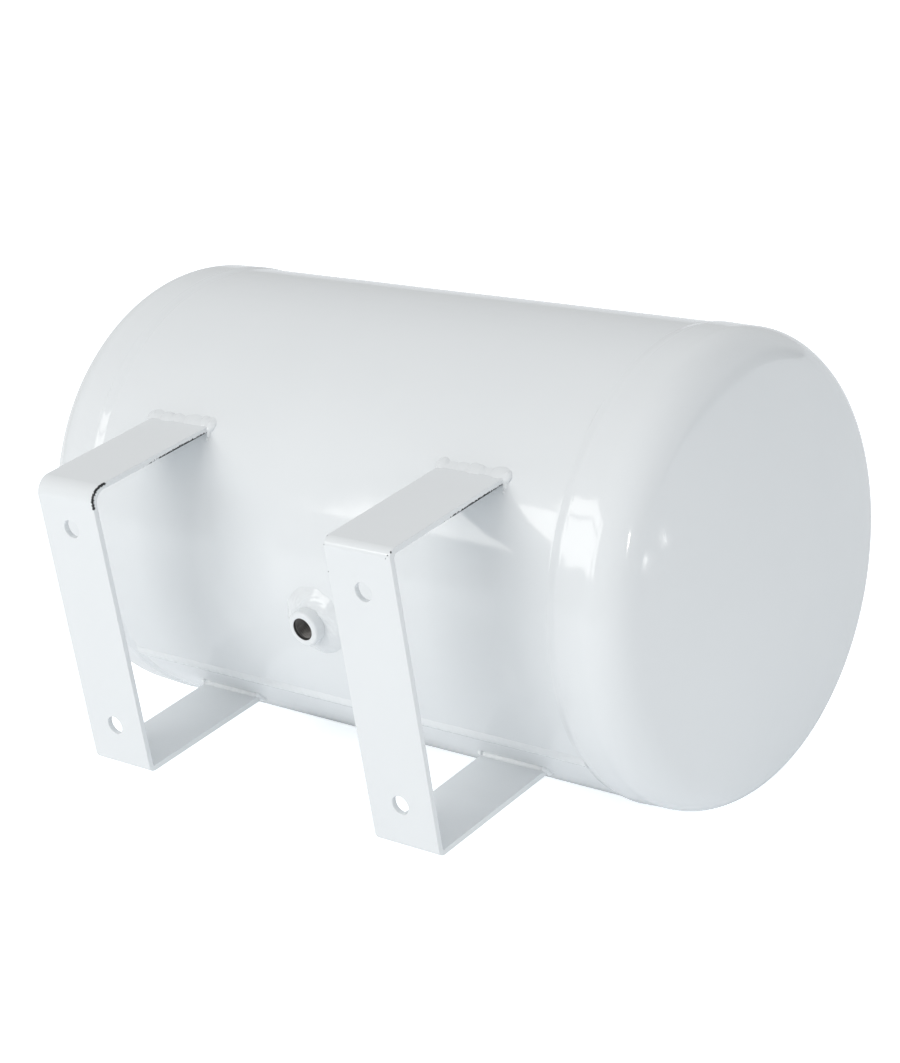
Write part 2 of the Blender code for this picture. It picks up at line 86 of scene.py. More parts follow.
# Girth joints: how much welding swells the skirt, and how far each joint strays from square, as
# (swing round the vessel, outward offset). The shell's share of it fades out over DRIFT_REACH.
SWELL = 0.55 * MM
GIRTH_WANDER = {"left": (0.0, 1.5 * MM), "right": (2.2 * MM, 1.2 * MM)}
DRIFT_REACH = SHELL_END / 8
SEAM_HALF = 3.7 * MM

# Brackets
STRAP = 3.0 * MM
STRAP_EDGE = 0.35 * MM
UPPER_BEND = {"left": 8.5 * MM, "right": 4.5 * MM}
LOWER_BEND = 3.6 * MM
BOLT_HOLE = 4.9 * MM
HOLE_EDGE = 0.35 * MM
HOLE_HEIGHT = 56.0 * MM

# Port: a quarter-inch parallel pipe thread
PORT_LOW, PORT_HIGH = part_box("port_socket")
PORT = Vector(((PORT_LOW.x + PORT_HIGH.x) / 2, AXIS_Y, (PORT_LOW.z + PORT_HIGH.z) / 2))
PORT_RADIUS = (PORT_HIGH.x - PORT_LOW.x) / 2
PORT_FACE = AXIS_Y - PORT_LOW.y
PORT_BOTTOM = AXIS_Y - PORT_HIGH.y
PIPE_PITCH = 1.337 * MM
PIPE_DEPTH = 0.8 * MM
PIPE_BORE = 5.75 * MM

# Gas valve, in heights above the left head's pole
BOSS_RADIUS = 9.0 * MM
BOSS_TOP = 7.0 * MM
VALVE_PITCH = 0.794 * MM
STEM_RADIUS = 3.85 * MM
STEM_TOP = 25.0 * MM
CAP_BOTTOM = 13.6 * MM
CAP_TOP = 28.0 * MM

# Axis frames: local Z runs along the axis
VESSEL_FRAME = Matrix(((0, 0, 1, 0), (1, 0, 0, AXIS_Y), (0, 1, 0, 0), (0, 0, 0, 1)))
PORT_FRAME = Matrix(((1, 0, 0, PORT.x), (0, 0, -1, PORT.y), (0, 1, 0, PORT.z), (0, 0, 0, 1)))
VALVE_FRAME = Matrix(((0, 0, -1, -POLE), (0, 1, 0, AXIS_Y), (1, 0, 0, 0), (0, 0, 0, 1)))

# Camera, at the reference viewing angle
CAMERA_AZIMUTH = 41.99
CAMERA_ELEVATION = 23.60
CAMERA_ROLL = -8.94
CAMERA_DISTANCE = 1.36943
CAMERA_TARGET = Vector((-0.00513, AXIS_Y, -0.00824))
CAMERA_LENS = 86.72

# Room: its radiance and its lean toward +X, -Y and +Z. Directions are (azimuth from -Y toward +X, elevation)
# in degrees. One corner is dim and one is pale, fully within the first angle and not at all past the second.
ROOM_COLOUR = (0.985, 0.995, 1.0, 1)
ROOM_LEVEL = 0.49
ROOM_LEAST = 0.08
ROOM_SEEN = 1.1
ROOM_LEAN = (0.15, -0.12, 0.21)
DIM_CORNER = (145, -21)
DIM_ANGLES = (26, 42)
DIM_DEPTH = 0.58
PALE_CORNER = (-145, 10)
PALE_ANGLES = (20, 60)
PALE_RISE = 0.30
# Painted light: FLOOR_GLOW is the floor's glow for rays other than the camera's, painted out under the vessel
# as a painted shadow
FLOOR_GLOW = 0.18
FLOOR_SEEN = 0.75

# Window panes: azimuths, elevations and radiance, seen from the right shoulder of the vessel
WINDOW_DISTANCE = 3.0
WINDOW_PANES = (
    (-45.5, -13, 16, 34, 3.8),
    (-45.5, -13, 35.5, 42, 3.8),
    (-11.5, -2, 16, 40, 3.4),
)
WINDOW_COLOUR = (1.0, 0.985, 0.955)

# Small bright panels near the right head: azimuth, elevation, width and height, seen from its knuckle
GLINTS = ((70, 15, 18 * MM, 60 * MM), (112, -14, 6 * MM, 12 * MM), (118, -12, 2 * MM, 16 * MM))
GLINT_DISTANCE = 0.5
GLINT_RADIANCE = 40.0

DICE = random.Random(11)


# ---------------------------------------------------------------- materials

class Finish:
    """A node material with a Principled shader, and short calls to add and join its nodes."""

    def __init__(self, name):
        self.material = bpy.data.materials.new(name)
        self.material.use_nodes = True
        self.tree = self.material.node_tree
        self.shader = self.tree.nodes["Principled BSDF"]
        self.place = self.add("ShaderNodeTexCoord").outputs["Object"]

    def add(self, kind, inputs=None, **settings):
        made = self.tree.nodes.new(kind)
        for key, value in settings.items():
            setattr(made, key, value)
        for key, value in (inputs or {}).items():
            self.put(made.inputs[key], value)
        return made

    def put(self, socket, value):
        if isinstance(value, bpy.types.NodeSocket):
            self.tree.links.new(value, socket)
        else:
            socket.default_value = value

    def set(self, **values):
        for key, value in values.items():
            self.put(self.shader.inputs[key.replace("_", " ")], value)

    def noise(self, size, detail=2.0):
        """Noise with features of about this size in metres."""
        inputs = {"Vector": self.place, "Scale": 1 / size, "Detail": detail}
        return self.add("ShaderNodeTexNoise", inputs).outputs["Fac"]

    def math(self, operation, a, b=0.0, clamp=False):
        return self.add("ShaderNodeMath", {0: a, 1: b}, operation=operation, use_clamp=clamp).outputs[0]

    def vector(self, operation, a, b):
        return self.add("ShaderNodeVectorMath", {0: a, 1: b}, operation=operation).outputs[0]

    def length(self, a):
        return self.add("ShaderNodeVectorMath", {0: a}, operation="LENGTH").outputs["Value"]

    def remap(self, value, low, high, to_low, to_high):
        inputs = {"Value": value, "From Min": low, "From Max": high, "To Min": to_low, "To Max": to_high}
        return self.add("ShaderNodeMapRange", inputs).outputs["Result"]

    def mix(self, share, first, second):
        made = self.add("ShaderNodeMix", data_type="RGBA")
        self.put(made.inputs[0], share)
        self.put(made.inputs[6], first)
        self.put(made.inputs[7], second)
        return made.outputs[2]

    def bump(self, height, distance, normal=None):
        inputs = {"Height": height, "Distance": distance, "Strength": 1.0}
        if normal:
            inputs["Normal"] = normal
        return self.add("ShaderNodeBump", inputs).outputs["Normal"]


def white_paint(name="white_gloss_paint", dark_spots=()):
    """Gloss powder paint with a fine orange peel.

    Each dark spot is the (centre, radii) of an ellipsoid drawn as dark steel: chips of paint, dark marks
    round a bend, and painted shade under the upper flanges' edges.
    """
    finish = Finish(name)
    tint = finish.mix(finish.noise(60 * MM), (0.785, 0.812, 0.832, 1), (0.808, 0.834, 0.852, 1))
    rough = finish.remap(finish.noise(25 * MM), 0.3, 0.7, 0.07, 0.12)
    peel = finish.bump(finish.noise(3.2 * MM, 1.0), 0.012 * MM)
    peel = finish.bump(finish.noise(14 * MM, 1.0), 0.05 * MM, peel)
    metal = 0.0
    # The dark spots are drawn as bare steel: chips of paint, dark marks round a bend, and painted shade under
    # the upper flanges' edges
    if dark_spots:
        metal = dark_spot_mask(finish, dark_spots)
        tint = finish.mix(metal, tint, (0.035, 0.036, 0.038, 1))
        rough = finish.add("ShaderNodeMix", {0: metal, 2: rough, 3: 0.55}).outputs[0]
        metal = finish.math("MULTIPLY", metal, 0.5)
    finish.set(Base_Color=tint, Roughness=rough, Normal=peel, Metallic=metal, IOR=1.5)
    return finish.material


def dark_spot_mask(finish, spots):
    """1 inside any of the spots and 0 outside, with a ragged edge."""
    ragged = finish.remap(finish.noise(0.7 * MM, 2.0), 0.3, 0.7, 0.6, 1.4)
    mask = None
    for centre, radii in spots:
        away = finish.vector("SUBTRACT", finish.place, centre)
        share = finish.length(finish.vector("DIVIDE", away, radii))
        mask = share if mask is None else finish.math("MINIMUM", mask, share)
    edge = finish.math("SUBTRACT", ragged, mask)
    return finish.math("MULTIPLY", edge, 6.0, clamp=True)


def metal_finish(name, colours, roughness):
    """Bare metal: stained between two colours, and fine grained between two roughnesses."""
    finish = Finish(name)
    stain = finish.mix(finish.noise(4 * MM, 3.0), *colours)
    grain = finish.noise(0.4 * MM, 3.0)
    rough = finish.remap(grain, 0.3, 0.7, *roughness)
    finish.set(Base_Color=stain, Roughness=rough, Metallic=1.0, Normal=finish.bump(grain, 0.006 * MM))
    return finish.material


def moulded_finish(name, dark, light, roughness):
    """Rubber or plastic: a slightly mottled colour over a fine moulded grain."""
    finish = Finish(name)
    stipple = finish.noise(0.3 * MM, 2.0)
    rough = finish.remap(finish.noise(5 * MM), 0.3, 0.7, roughness - 0.07, roughness + 0.07)
    tint = finish.mix(finish.noise(8 * MM), dark, light)
    finish.set(Base_Color=tint, Roughness=rough, Normal=finish.bump(stipple, 0.01 * MM), IOR=1.48)
    return finish.material


# ---------------------------------------------------------------- meshes

def link(name, mesh, materials, slot, *nodes, body="vessel"):
    """Links a mesh as a piece that stands for CAD nodes and rides on their body."""
    obj = bpy.data.objects.new(name, mesh)
    bpy.context.scene.collection.objects.link(obj)
    for material in materials:
        mesh.materials.append(material)
    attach(obj, body)
    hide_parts(*nodes)
    return obj


def skin(name, rings, closed_rings=True, material_rows=()):
    """A closed mesh from rings of points, shaped (rings, points, 3). Each ring is a loop.

    The last ring joins the first if closed_rings, and otherwise both ends are capped. Rows of faces
    in material_rows, a range, take the second material.
    """
    count, around = rings.shape[:2]
    index = np.arange(count * around).reshape(count, around)
    along = np.roll(index, -1, axis=0)
    quads = np.stack([index, np.roll(index, -1, axis=1), np.roll(along, -1, axis=1), along], axis=-1)
    if not closed_rings:
        quads = quads[:-1]
    faces = quads.reshape(-1, 4).tolist()
    if not closed_rings:
        faces += [index[0, ::-1].tolist(), index[-1].tolist()]
    mesh = bpy.data.meshes.new(name)
    mesh.from_pydata(rings.reshape(-1, 3).tolist(), [], faces)
    for row in material_rows:
        for face in range(row * around, (row + 1) * around):
            mesh.polygons[face].material_index = 1
    bm = bmesh.new()
    bm.from_mesh(mesh)
    bmesh.ops.remove_doubles(bm, verts=bm.verts, dist=1e-7)
    bmesh.ops.recalc_face_normals(bm, faces=bm.faces)
    bm.to_mesh(mesh)
    bm.free()
    mesh.shade_smooth()
    return mesh


def moved(points, matrix):
    """Points carried over by a 4 x 4 matrix."""
    array = np.array(matrix)
    return points @ array[:3, :3].T + array[:3, 3]


def turned(name, outline, place, steps, shift=None, slide=None, **options):
    """Turns an outline of (radius, height) points about local Z.

    shift(angles, index) adds to the radius, and slide(angles, height) to the height.
    """
    angles = np.linspace(0, 2 * math.pi, steps, endpoint=False)
    rings = np.zeros((len(outline), steps, 3))
    for row, (radius, height) in enumerate(outline):
        around = radius + (shift(angles, row) if shift else 0.0)
        along = 0 * angles + height + (slide(angles, height) if slide else 0.0)
        rings[row] = np.stack([around * np.cos(angles), around * np.sin(angles), along], -1)
    return skin(name, moved(rings, place), **options)


def arc(centre, radius, start, end, count):
    """count + 1 points on an arc from start to end, in degrees."""
    angles = np.radians(np.linspace(start, end, count + 1))
    return [(centre[0] + radius * math.cos(a), centre[1] + radius * math.sin(a)) for a in angles]


def sharpen(mesh, angle=30.0):
    """Keeps the shading crisp across edges sharper than this angle."""
    mesh.set_sharp_from_angle(angle=math.radians(angle))


def even_normals(obj):
    """Keeps flat faces flat where they meet rounded edges."""
    modifier = obj.modifiers.new("even_normals", "WEIGHTED_NORMAL")
    modifier.keep_sharp = True
    modifier.weight = 100


def shell_y(height):
    """World y on the wall side of the shell at this world height."""
    return AXIS_Y - math.sqrt(SHELL_RADIUS**2 - height**2)


def waves(seed, count, lowest, highest, amplitude):
    """A smooth function of an angle that repeats every turn: a few sines with random phase."""
    dice = random.Random(seed)
    parts = []
    for _ in range(count):
        turns = dice.randint(lowest, highest)
        phase = dice.uniform(0, PHASES)
        parts.append((turns, phase, dice.uniform(0.4, 1.0)))

    def value(angle):
        return amplitude * sum(size * np.sin(turns * angle + phase) for turns, phase, size in parts) / count

    return value


def eased(share):
    """A share from 0 to 1, with a soft start and a soft end."""
    return share * share * (3 - 2 * share)


# ---------------------------------------------------------------- vessel

def girth_drift(side, angles):
    """How far outward this girth joint lies from square, at angles from +Y toward +Z."""
    lean, offset = GIRTH_WANDER[side]
    return lean * np.cos(angles - math.radians(155)) + offset


def fullness(angles):
    """How full the girth welds are: most low on the wall side, least on the far side at the top."""
    return 0.7 - 0.3 * np.cos(angles - math.radians(45))


def make_shell(paint):
    """A rolled tube, with the long shallow flats that rolling leaves."""
    stations = np.linspace(-SHELL_END, SHELL_END, 121)
    outer = [(SHELL_RADIUS, x) for x in stations]
    inner = [(SHELL_RADIUS - WALL, x) for x in (SHELL_END, SHELL_END / 3, -SHELL_END / 3, -SHELL_END)]
    flats = [waves(seed, 4, 3, 11, 0.16 * MM) for seed in range(6)]

    def shift(angles, row):
        if row >= len(stations):
            return 0.0 * angles
        x = stations[row]
        place = (x / SHELL_END + 1) / 2 * (len(flats) - 1)
        first = min(int(place), len(flats) - 2)
        share = eased(place - first)
        return (1 - share) * flats[first](angles) + share * flats[first + 1](angles)

    def slide(angles, x):
        side = "right" if x > 0 else "left"
        share = max(0.0, 1 - (SHELL_END - abs(x)) / DRIFT_REACH)
        return math.copysign(1.0, x) * share * girth_drift(side, angles)

    mesh = turned("shell_tube", outer + inner, VESSEL_FRAME, 256, shift, slide)
    return link("shell_tube", mesh, [paint], "white_paint", "shell")


def dish(inset, hole, crown_parts, knuckle_parts):
    """(radius, height) from the crown to the tangent line, this far inside the outer face."""
    crown_centre = POLE - CROWN
    joint = math.degrees(math.atan2(TANGENT - crown_centre, HEAD_RADIUS - KNUCKLE))
    start = math.degrees(math.acos(hole / (CROWN - inset)))
    crown = arc((0.0, crown_centre), CROWN - inset, start, joint, crown_parts)
    return crown + arc((HEAD_RADIUS - KNUCKLE, TANGENT), KNUCKLE - inset, joint, 0.0, knuckle_parts)[1:]


def make_head(side, sign, hole, paint):
    """A pressed dish: faint puckers in the knuckle, a skirt swollen by welding, a lip in the shell."""
    lip = SHELL_RADIUS - WALL - 0.3 * MM
    crown_parts, skirt_parts = 40, 10
    outer = dish(0.0, hole, crown_parts, 24)
    skirt_start = len(outer)
    for step in range(1, skirt_parts + 1):
        outer.append((HEAD_RADIUS, TANGENT + step / skirt_parts * (SKIRT_END - TANGENT)))
    skirt_last = len(outer) - 1
    outer += [(lip, SHELL_END + 1.5 * MM), (lip, LIP_END)]
    inner = dish(WALL, hole, 10, 8) + [(HEAD_RADIUS - WALL, SHELL_END + 4.5 * MM)]
    inner += [(lip - WALL, SHELL_END + 2.5 * MM), (lip - WALL, LIP_END)]
    outline = [(radius, sign * height) for radius, height in outer + inner[::-1]]
    pucker = waves(40 + sign, 5, 5, 17, 0.12 * MM)
    pucker_start, pucker_rows = crown_parts - 6, 14

    def shift(angles, row):
        if row > skirt_last:
            return 0.0 * angles
        puckered = min(1.0, max(0.0, (row - pucker_start) / pucker_rows))
        swollen = max(0.0, (row - skirt_start + 1) / skirt_parts)
        return pucker(angles) * puckered + SWELL * fullness(angles) * eased(swollen)

    def slide(angles, height):
        share = max(0.0, 1 - abs(abs(height) - SHELL_END) / (TANGENT - SHELL_END))
        return sign * share * girth_drift(side, angles)

    name = f"head_{side}_dish"
    mesh = turned(name, outline, VESSEL_FRAME, 256, shift, slide)
    return link(name, mesh, [paint], "white_paint", f"head_{side}")


def make_girth_weld(side, sign, paint):
    """A smooth machine-laid bead that rises from the shell and runs out level with the head's skirt."""
    top = GIRTH_RADIUS - SHELL_RADIUS
    low, high = -3.2 * MM, 6.8 * MM
    root = -1.0 * MM
    section = [(root, high)]
    for share in np.linspace(0.0, 1.0, 22):
        along = high + share * (low - high)
        near_head = min(1.0, (high - along) / (5.5 * MM))
        near_shell = min(1.0, (along - low) / (7.0 * MM))
        rise = eased(near_shell) * (0.9 + 0.1 * near_head)
        sink = 0.10 * MM * (1 - near_shell) ** 2 + 0.50 * MM * (1 - near_head) ** 2
        section.append((rise * (top - 0.15 * MM) - sink, along))
    section += [(root, low), (root, 0.0)]
    wander = waves(60 + sign, 6, 3, 15, 0.25 * MM)
    swell = waves(70 + sign, 6, 9, 60, 0.10 * MM)
    steps = 1080
    ripples = 216
    ripple_lean = 900
    angles = np.linspace(0, 2 * math.pi, steps, endpoint=False)
    drift = girth_drift(side, angles) + wander(angles)
    full = fullness(angles)
    least = 0.47  # even the thinnest bead still covers the end of the skirt
    rings = np.zeros((len(section), steps, 3))
    for row, (rise, along) in enumerate(section):
        proud = max(rise, 0.0) / top
        ripple = 0.02 * MM * np.sin(ripples * angles + along * ripple_lean)
        lift = rise * (least + (1 - least) * full)
        radius = SHELL_RADIUS + lift + proud * full**3 * (swell(angles) + ripple)
        x = sign * (SHELL_END + along + drift)
        rings[row] = np.stack([radius * np.cos(angles), radius * np.sin(angles), x], -1)
    name = f"girth_bead_{side}"
    mesh = skin(name, moved(rings, VESSEL_FRAME))
    return link(name, mesh, [paint], "white_paint", f"girth_weld_{side}")


def seam_angle():
    """Where the longitudinal seam lies, from +Y toward +Z."""
    low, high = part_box("seam_weld")
    return math.atan2((low.z + high.z) / 2, (low.y + high.y) / 2 - AXIS_Y)


def make_seam_bead(paint):
    """The longitudinal bead: low, uneven, and wandering a little. Its ends run in under the girth beads."""
    rise, sink, root = 1.6 * MM, 0.15 * MM, 1.0 * MM
    across = np.linspace(-1, 1, 25)
    count = 700
    xs = np.linspace(-SHELL_END - 0.5 * MM, SHELL_END + 3.0 * MM, count)
    wander = waves(81, 6, 2, 14, 0.55 * MM)
    swell = waves(83, 6, 20, 90, 0.12)
    rings = np.zeros((count, len(across) + 2, 3))
    for row, x in enumerate(xs):
        phase = PHASES * x / (2 * SHELL_END)
        crown = rise * (1 + float(swell(phase)))
        side = SEAM_HALF * (1.12 + float(swell(phase + 1.0))) * across + float(wander(phase))
        radius = SHELL_RADIUS - sink + crown * np.cos(math.pi / 2 * across)
        section = np.stack([0 * side + x, radius, side], -1)
        base = np.array([[x, SHELL_RADIUS - root, side[-1]], [x, SHELL_RADIUS - root, side[0]]])
        rings[row] = np.concatenate([section, base])
    place = Matrix.Translation((0, AXIS_Y, 0)) @ Matrix.Rotation(seam_angle(), 4, "X")
    mesh = skin("seam_bead", moved(rings, place), closed_rings=False)
    return link("seam_bead", mesh, [paint], "white_paint", "seam_weld")


# ---------------------------------------------------------------- brackets

def strap_path(side, top, end):
    """Stations (outer point, inward normal) as (y, z) pairs round the U, from the upper end to the lower."""
    upper = UPPER_BEND[side]
    stations = [((end, top), (0, -1)), ((end / 2, top), (0, -1))]
    for angle in np.linspace(90, 180, 17):
        out = (math.cos(math.radians(angle)), math.sin(math.radians(angle)))
        stations.append(((upper + upper * out[0], top - upper + upper * out[1]), (-out[0], -out[1])))
    stations.append(((0, 0), (1, 0)))
    for angle in np.linspace(180, 270, 17):
        out = (math.cos(math.radians(angle)), math.sin(math.radians(angle)))
        stations.append(((LOWER_BEND * (1 + out[0]), LOWER_BEND * (1 + out[1]) - top), (-out[0], -out[1])))
    stations += [((end / 2, -top), (0, 1)), ((end, -top), (0, 1))]
    return stations


def strap_section(half):
    """(across, depth) round the bar's cross-section, with small rounded edges."""
    edge = STRAP_EDGE
    corners = ((half - edge, edge, -90), (half - edge, STRAP - edge, 0))
    corners += ((edge - half, STRAP - edge, 90), (edge - half, edge, 180))
    return [point for x, y, start in corners for point in arc((x, y), edge, start, start + 90, 4)]


def hole_cutter(x, z):
    """A hidden cutter for a bolt hole whose two rims flare, so that paint rounds over them."""
    outline = [(0, -MM), (BOLT_HOLE + HOLE_EDGE + MM, -MM)]
    outline += arc((BOLT_HOLE + HOLE_EDGE, HOLE_EDGE), HOLE_EDGE, 270, 180, 5)
    outline += arc((BOLT_HOLE + HOLE_EDGE, STRAP - HOLE_EDGE), HOLE_EDGE, 180, 90, 5)
    outline += [(BOLT_HOLE + HOLE_EDGE + MM, STRAP + MM), (0, STRAP + MM)]
    place = Matrix(((1, 0, 0, x), (0, 0, 1, 0), (0, -1, 0, z), (0, 0, 0, 1)))
    return turned("bolt_hole_cutter", outline, place, 64, closed_rings=True)


def make_bracket(side, paint):
    """A bent bar, a little wider inside each bend, with its two bolt holes cut through."""
    low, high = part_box(f"bracket_{side}")
    middle, half = (low.x + high.x) / 2, (high.x - low.x) / 2
    top, end = high.z, high.y
    section = strap_section(half)
    bulge = 0.18 * MM
    rings = []
    for (y, z), (down_y, down_z) in strap_path(side, top, end):
        bent = 4 * abs(down_y * down_z)
        ring = []
        for across, depth in section:
            spread = across * (1 + bulge / half * bent * (2 * depth / STRAP - 1))
            ring.append((middle + spread, y + down_y * depth, z + down_z * depth))
        rings.append(ring)
    name = f"bracket_{side}_strap"
    mesh = skin(name, np.array(rings), closed_rings=False)
    obj = link(name, mesh, [paint], "white_paint", f"bracket_{side}")
    bm = bmesh.new()
    for height in (HOLE_HEIGHT, -HOLE_HEIGHT):
        bm.from_mesh(hole_cutter(middle, height))
    cutter_mesh = bpy.data.meshes.new(f"holes_{side}")
    bm.to_mesh(cutter_mesh)
    bm.free()
    cutter = bpy.data.objects.new(f"holes_{side}", cutter_mesh)
    bpy.context.scene.collection.objects.link(cutter)
    carve(obj, cutter)
    even_normals(obj)
    return obj


def carve(obj, cutter):
    """Cuts the piece's own mesh with a cutter, which is then removed."""
    modifier = obj.modifiers.new("cut", "BOOLEAN")
    modifier.operation = "DIFFERENCE"
    modifier.solver = "EXACT"
    modifier.object = cutter
    bpy.context.view_layer.update()
    graph = bpy.context.evaluated_depsgraph_get()
    cut = bpy.data.meshes.new_from_object(obj.evaluated_get(graph))
    obj.modifiers.remove(modifier)
    obj.data = cut
    cut.name = obj.name
    bpy.data.objects.remove(cutter)
    cut.shade_smooth()
    sharpen(cut)


# ---------------------------------------------------------------- hand-laid welds

def frame_on(normal, along):
    """Columns are the bead's direction, the way across it and the surface normal."""
    normal = Vector(normal).normalized()
    along = (Vector(along) - normal * normal.dot(Vector(along))).normalized()
    return Matrix((along, normal.cross(along), normal)).transposed()


def fused(name, blobs, voxel, smoothing, paint, node):
    """Overlapping drops of weld metal, each (centre, frame, radii), run together under the paint."""
    bm = bmesh.new()
    for centre, axes, radii in blobs:
        made = bmesh.ops.create_icosphere(bm, subdivisions=3, radius=1.0)["verts"]
        place = Matrix.Translation(centre) @ axes.to_4x4() @ Matrix.Diagonal((*radii, 1.0))
        bmesh.ops.transform(bm, matrix=place, verts=made)
    mesh = bpy.data.meshes.new(name)
    bm.to_mesh(mesh)
    bm.free()
    obj = link(name, mesh, [paint], "white_paint", node)
    remesh = obj.modifiers.new("fuse", "REMESH")
    remesh.mode = "VOXEL"
    remesh.voxel_size = voxel
    remesh.use_smooth_shade = True
    flow = obj.modifiers.new("flow", "SMOOTH")
    flow.factor = 0.5
    flow.iterations = smoothing
    return obj


def make_upper_bead(side, paint):
    """Laid by hand over the flange's end, and a little way down both of its sides."""
    low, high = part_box(f"bracket_{side}")
    middle, half = (low.x + high.x) / 2, (high.x - low.x) / 2
    corner = Vector((0, shell_y(high.z), high.z))
    radial = Vector((0, corner.y - AXIS_Y, corner.z)).normalized()
    lean = (radial + Vector((0, 0, 1))).normalized()
    axes = frame_on(lean, (1, 0, 0))
    blobs = []
    x = -half + 1.2 * MM
    while x < half + 1.0 * MM:
        centre = corner + axes.col[1] * DICE.uniform(-1.0, 1.0) * MM
        centre += axes.col[2] * DICE.uniform(-0.7, 0.0) * MM
        centre.x = middle + x
        long, wide, tall = DICE.uniform(3.6, 7.0), DICE.uniform(4.6, 6.4), DICE.uniform(1.7, 2.6)
        blobs.append((centre, axes, (long * MM, wide * MM, tall * MM)))
        x += DICE.uniform(2.2, 6.8) * MM
    for edge in (-1, 1):
        for drop in (0.0, 2.0, 4.0, 6.2):
            z = high.z - drop * MM
            out = Vector((edge, -0.5, 0.2)).normalized()
            centre = Vector((middle + edge * (half + 0.9 * MM), shell_y(z) - 0.2 * MM, z))
            size = (1.0 - 0.09 * drop) * MM
            blobs.append((centre, frame_on(out, (0, -0.6, 1)), (2.4 * size, 2.3 * size, 1.5 * size)))
    return fused(f"bracket_{side}_upper_bead", blobs, 0.35 * MM, 16, paint, f"bracket_{side}_upper_weld")


def make_lower_bead(side, paint):
    """A thin fillet in the sharp corner above the lower flange, with a heavier drop at each end."""
    low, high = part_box(f"bracket_{side}")
    middle, half = (low.x + high.x) / 2, (high.x - low.x) / 2
    floor = low.z + STRAP
    corner = Vector((0, shell_y(floor), floor))
    blobs = []
    x = -half + 0.6 * MM
    while x < half - 0.4 * MM:
        size = DICE.uniform(0.85, 1.15)
        centre = corner + Vector((middle + x, -1.3 * MM, 0.5 * MM))
        axes = frame_on((0, -0.8, 0.6), (1, 0, 0))
        blobs.append((centre, axes, (2.6 * MM, 2.0 * MM * size, 1.1 * MM * size)))
        x += DICE.uniform(1.8, 2.6) * MM
    for edge in (-1, 1):
        for step in range(4):
            z = floor + (1.2 - 1.3 * step) * MM
            centre = Vector((middle + edge * (half + 0.2 * MM), shell_y(z) - 0.5 * MM, z))
            axes = frame_on((edge, -0.8, 0), (0, 0, 1))
            size = DICE.uniform(0.9, 1.1)
            blobs.append((centre, axes, (1.7 * MM, 1.9 * MM * size, 1.3 * MM * size)))
    return fused(f"bracket_{side}_lower_bead", blobs, 0.3 * MM, 3, paint, f"bracket_{side}_lower_weld")


def make_port_bead(paint):
    """A heavy, low collar of weld metal round the socket, wider above it and to the left."""
    low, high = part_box("port_weld")
    centre_x, centre_z = (low.x + high.x) / 2, (low.z + high.z) / 2
    reach = (high.x - low.x) / 2
    steps = 144
    angles = np.linspace(0, 2 * math.pi, steps, endpoint=False)
    edge = reach * (0.95 + waves(6, 6, 4, 13, 0.07)(angles))
    lumps = waves(9, 4, 4, 8, 0.7 * MM)
    fine = waves(12, 5, 7, 15, 0.6 * MM)
    start = PORT_RADIUS - 1.2 * MM
    rows = [(share, None) for share in np.linspace(0.0, 1.0, 26)] + [(0.97, -MM), (0.0, -MM)]
    rings = np.zeros((len(rows), steps, 3))
    for row, (share, depth) in enumerate(rows):
        radius = start + share * (edge - start)
        if depth is None:
            dome = math.cos(math.pi / 2 * share**1.3)
            waver = math.sin(math.pi * min(1.0, share + 0.12))
            height = 3.9 * MM * dome + waver * (lumps(angles) + fine(angles + 1.7 * share)) - 0.15 * MM
        else:
            height = 0 * angles + depth
        x = centre_x + radius * np.cos(angles)
        z = centre_z + radius * np.sin(angles)
        y = AXIS_Y - np.sqrt((SHELL_RADIUS + height) ** 2 - z**2)
        rings[row] = np.stack([x, y, z], -1)
    mesh = skin("port_bead", rings)
    return link("port_bead", mesh, [paint], "white_paint", "port_weld")


def make_boss_bead(paint):
    """A ring of drops where the valve's spud meets the left head."""
    blobs = []
    drops = 18
    for step in range(drops):
        angle = 2 * math.pi * (step + DICE.uniform(-0.2, 0.2)) / drops
        size = DICE.uniform(0.88, 1.12)
        out = Vector((0, math.cos(angle), math.sin(angle)))
        centre = Vector((-POLE - 0.5 * MM, AXIS_Y, 0)) + out * (BOSS_RADIUS + 1.2 * MM)
        axes = frame_on(Vector((-1.0, 0, 0)) + out * 0.8, out.cross(Vector((1, 0, 0))))
        blobs.append((centre, axes, (2.4 * MM * size, 3.0 * MM * size, 1.9 * MM * size)))
    return fused("boss_bead", blobs, 0.3 * MM, 4, paint, "valve_boss_weld")


# ---------------------------------------------------------------- port and valve

def thread_rows(low, high, pitch, radius, depth, hand, per_pitch=10):
    """Rows of (radius function, height) for a helical thread whose crests stand depth towards hand."""
    rows = []
    for height in np.linspace(low, high, int((high - low) / pitch * per_pitch)):
        fade = min(1.0, (high - height) / pitch, (height - low) / pitch)

        def around(angles, height=height, fade=fade):
            phase = (height / pitch - angles / (2 * math.pi)) % 1.0
            ridge = np.clip(1.25 * (1 - np.abs(2 * phase - 1)) - 0.12, 0, 1)
            return radius + hand * depth * fade * ridge

        rows.append((around, height))
    return rows


def turned_rows(name, rows, place, steps, **options):
    """Like turned(), for rows whose radius is a number or a function of the angle."""
    angles = np.linspace(0, 2 * math.pi, steps, endpoint=False)
    rings = np.zeros((len(rows), steps, 3))
    for row, (radius, height) in enumerate(rows):
        around = radius(angles) if callable(radius) else 0 * angles + radius
        rings[row] = np.stack([around * np.cos(angles), around * np.sin(angles), 0 * angles + height], -1)
    return skin(name, moved(rings, place), **options)


